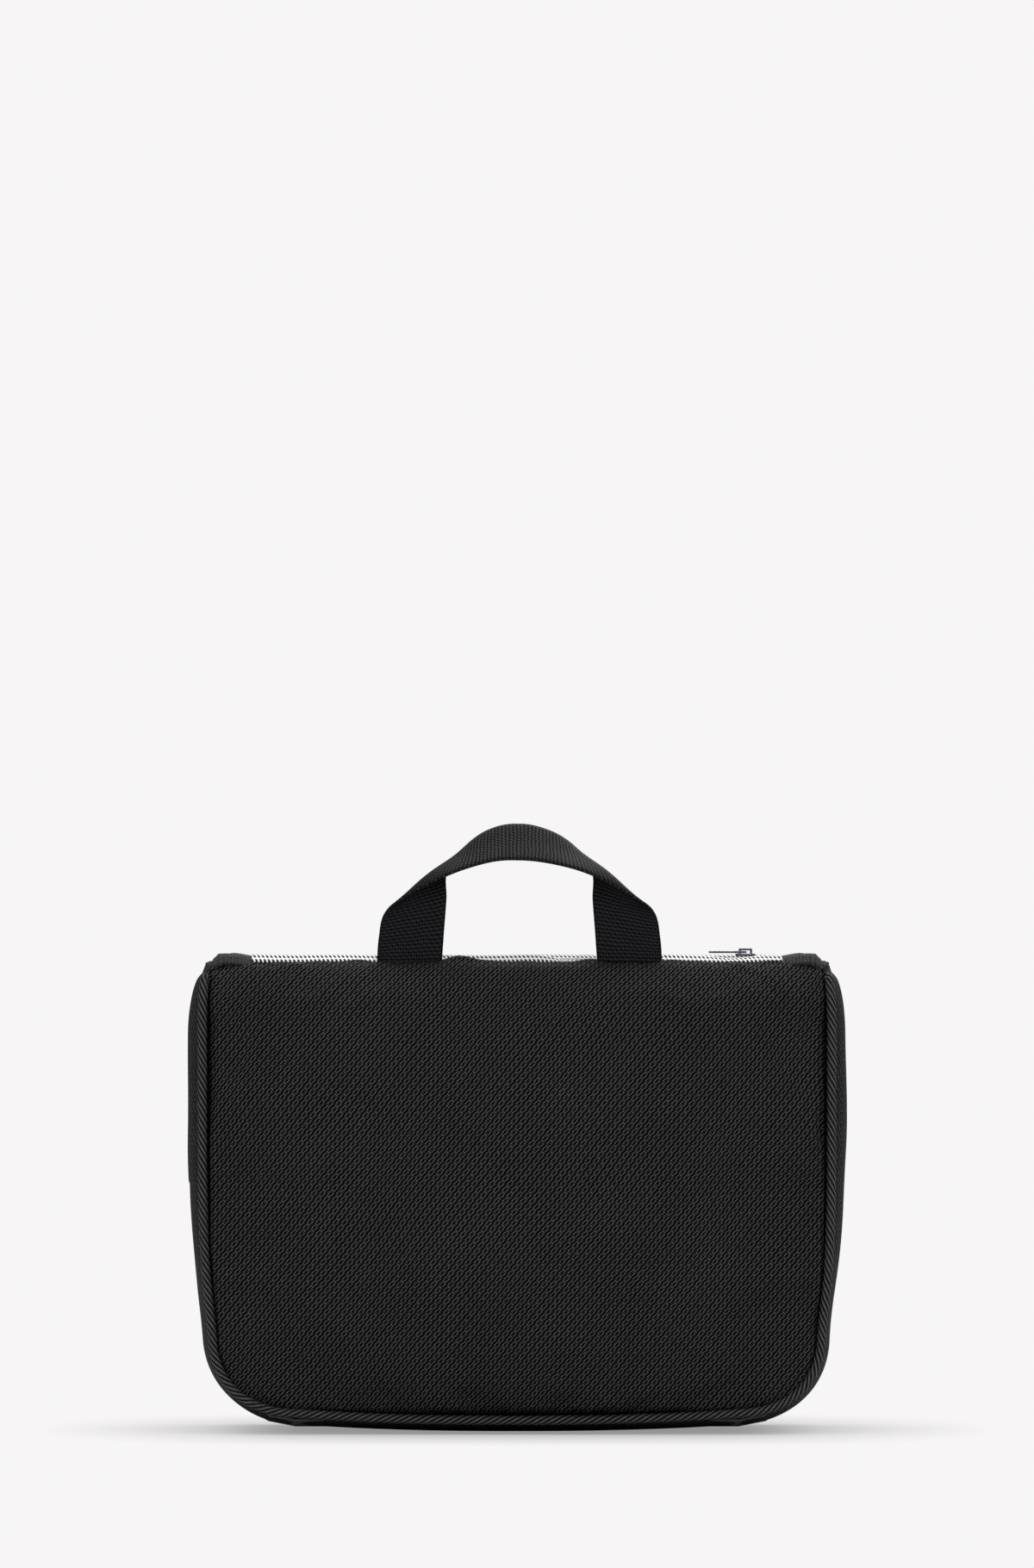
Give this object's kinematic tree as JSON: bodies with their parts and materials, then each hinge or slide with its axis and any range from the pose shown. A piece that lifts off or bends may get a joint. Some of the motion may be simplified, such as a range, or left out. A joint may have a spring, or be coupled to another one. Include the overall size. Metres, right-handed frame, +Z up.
{
  "type": "hanging toiletry bag",
  "caption": "Padded toiletry bag with a zipped main compartment, a fold-down front cover, a webbing carry handle and a stowed swivel hook.",
  "frame": {"origin": "on the standing base, at the middle of the bag's width and depth", "axes": "+X to the right when the plain rear panel is faced, +Y from the rear panel towards the fold-down front cover, +Z up"},
  "size_m": [0.2508, 0.084, 0.2317],
  "materials": {
    "outer_fabric": "matte",
    "piping": "matte",
    "foam_padding": "matte",
    "lining": "satin",
    "tab_fabric": "matte",
    "pale_tape": "matte",
    "pale_coil": "satin",
    "dark_tape": "matte",
    "coil_plastic": "satin",
    "webbing": "matte",
    "elastic": "matte",
    "mesh_fabric": "satin",
    "slider_metal": "satin",
    "hook_plastic": "satin"
  },
  "bodies": {
    "bag_body": {"rear_panel": "outer_fabric", "rear_foam": "foam_padding", "rear_lining": "lining", "body_gusset": "outer_fabric", "body_side_lining": "lining", "rear_piping": "piping", "end_tab_left": "tab_fabric", "end_tab_right": "tab_fabric", "top_zip_tape_rear": "pale_tape", "top_zip_tape_front": "pale_tape", "top_zip_coil_rear": "pale_coil", "top_zip_coil_front": "pale_coil", "top_strip": "outer_fabric", "body_zip_tape": "dark_tape", "body_zip_coil": "coil_plastic", "hinge_binding": "outer_fabric", "divider_panel": "lining", "organiser_pocket": "mesh_fabric", "organiser_zip_tape": "dark_tape", "organiser_zip_coil": "coil_plastic", "elastic_loops_left": "elastic", "elastic_loops_right": "elastic", "hook_anchor": "webbing"},
    "front_cover": {"front_panel": "outer_fabric", "front_foam": "foam_padding", "front_lining": "lining", "cover_gusset": "outer_fabric", "cover_side_lining": "lining", "cover_zip_tape": "dark_tape", "cover_zip_coil": "coil_plastic", "cover_hinge_strip": "outer_fabric", "front_piping": "piping", "cover_mesh_pocket": "mesh_fabric", "cover_pocket_binding": "elastic"},
    "hook_loop": {"hook_tab": "webbing", "hook_collar": "hook_plastic"},
    "hook_arm": {"hook": "hook_plastic"},
    "handle": {"carry_handle": "webbing"},
    "top_zip_slider": {"top_slider": "slider_metal"},
    "top_zip_pull": {"top_pull": "slider_metal"},
    "cover_zip_slider_left": {"cover_slider_left": "slider_metal"},
    "cover_zip_pull_left": {"cover_pull_left": "slider_metal"},
    "cover_zip_slider_right": {"cover_slider_right": "slider_metal"},
    "cover_zip_pull_right": {"cover_pull_right": "slider_metal"},
    "organiser_zip_slider": {"organiser_slider": "slider_metal"},
    "organiser_zip_pull": {"organiser_pull": "slider_metal"}
  },
  "joints": [
    {"name": "cover_fold", "type": "hinge", "parent": "bag_body", "child": "front_cover", "pos_m": [0, 0.014, 0], "axis": [-1, 0, 0], "range_deg": [0, 180]},
    {"name": "hook_fold", "type": "hinge", "parent": "bag_body", "child": "hook_loop", "pos_m": [0, 0.0176, 0.171], "axis": [1, 0, 0], "range_deg": [0, 180]},
    {"name": "hook_swivel", "type": "hinge", "parent": "hook_loop", "child": "hook_arm", "pos_m": [0, 0.0176, 0.157], "axis": [0, 0, 1], "range_deg": [0, 90]},
    {"name": "handle_fold", "type": "hinge", "parent": "bag_body", "child": "handle", "pos_m": [0, -0.026, 0.1806], "axis": [1, 0, 0], "range_deg": [-30, 100]},
    {"name": "top_slider_travel", "type": "slide", "parent": "bag_body", "child": "top_zip_slider", "axis": [1, 0, 0], "range_m": [-0.174, 0]},
    {"name": "top_pull_lift", "type": "hinge", "parent": "top_zip_slider", "child": "top_zip_pull", "pos_m": [0.087, -0.013, 0.1826], "axis": [0, 1, 0], "range_deg": [0, 160]},
    {"name": "cover_slider_left_travel", "type": "slide", "parent": "bag_body", "child": "cover_zip_slider_left", "axis": [1, 0, 0], "range_m": [-0.105, 0]},
    {"name": "cover_pull_left_lift", "type": "hinge", "parent": "cover_zip_slider_left", "child": "cover_zip_pull_left", "pos_m": [0.018, 0.014, 0.1793], "axis": [0, 1, 0], "range_deg": [0, 90]},
    {"name": "cover_slider_right_travel", "type": "slide", "parent": "bag_body", "child": "cover_zip_slider_right", "axis": [1, 0, 0], "range_m": [0, 0.061]},
    {"name": "cover_pull_right_lift", "type": "hinge", "parent": "cover_zip_slider_right", "child": "cover_zip_pull_right", "pos_m": [0.0262, 0.014, 0.1793], "axis": [0, -1, 0], "range_deg": [0, 90]},
    {"name": "organiser_slider_travel", "type": "slide", "parent": "bag_body", "child": "organiser_zip_slider", "axis": [1, 0, 0], "range_m": [-0.16, 0]},
    {"name": "organiser_pull_lift", "type": "hinge", "parent": "organiser_zip_slider", "child": "organiser_zip_pull", "pos_m": [0.08, 0.0156, 0.0798], "axis": [0, 0, -1], "range_deg": [0, 45]}
  ],
  "couplings": [
    {"joint": "hook_fold", "follows": "cover_fold", "ratio": 1},
    {"joint": "hook_swivel", "follows": "cover_fold", "ratio": 0.5}
  ]
}
